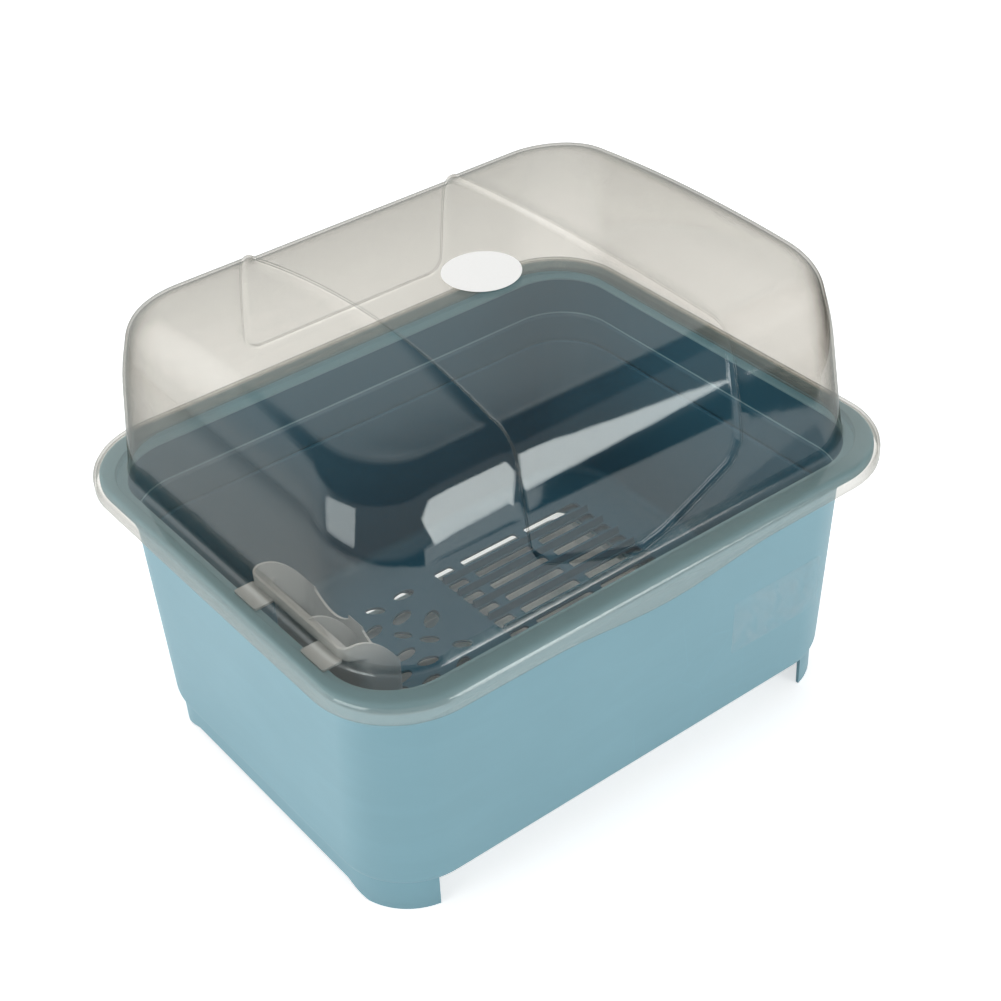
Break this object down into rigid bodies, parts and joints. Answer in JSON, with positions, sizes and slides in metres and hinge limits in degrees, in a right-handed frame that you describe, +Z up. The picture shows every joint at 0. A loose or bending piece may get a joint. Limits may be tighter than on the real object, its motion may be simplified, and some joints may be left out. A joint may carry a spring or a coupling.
{
  "type": "covered dish drainer",
  "caption": "Rectangular plastic dish drainer: a deep basin on corner feet, a lift-off clear dome lid, a lift-out drain basket, a hooked cutlery holder and a slide-out drip tray.",
  "frame": {"origin": "on the surface that it stands on, under the middle of the part", "axes": "+Z up, +X along the long side, -Y towards the front, where the lid has its finger grip and the drip tray comes out"},
  "size_m": [0.43, 0.36, 0.3321],
  "materials": {
    "teal_plastic": "satin moulded polypropylene, greyish teal",
    "deep_teal_plastic": "satin moulded polypropylene, darker greyish teal",
    "smoky_clear_plastic": "thin glossy clear sheet with a warm smoky tint",
    "frosted_plastic": "frosted translucent natural plastic",
    "white_plastic": "satin white moulded plastic",
    "label_paper": "bare white paper sticker",
    "label_film": "bare clear film sticker"
  },
  "bodies": {
    "basin": {"basin": "teal_plastic", "front_label": "label_film", "tray_rail_left": "teal_plastic", "tray_rail_right": "teal_plastic"},
    "lid": {"lid": "smoky_clear_plastic", "lid_label": "label_paper"},
    "basket": {"drain_basket": "deep_teal_plastic"},
    "holder": {"cutlery_holder": "frosted_plastic"},
    "tray": {"drip_tray": "white_plastic"}
  },
  "joints": [
    {"name": "lid_lift", "type": "slide", "parent": "basin", "child": "lid", "axis": [0, 0, 1], "range_m": [0, 0.12]},
    {"name": "basket_lift", "type": "slide", "parent": "basin", "child": "basket", "axis": [0, 0, 1], "range_m": [0, 0.03]},
    {"name": "holder_slide", "type": "slide", "parent": "basin", "child": "holder", "axis": [0, 1, 0], "range_m": [0, 0.12]},
    {"name": "tray_slide", "type": "slide", "parent": "basin", "child": "tray", "axis": [0, -1, 0], "range_m": [0, 0.2]}
  ]
}
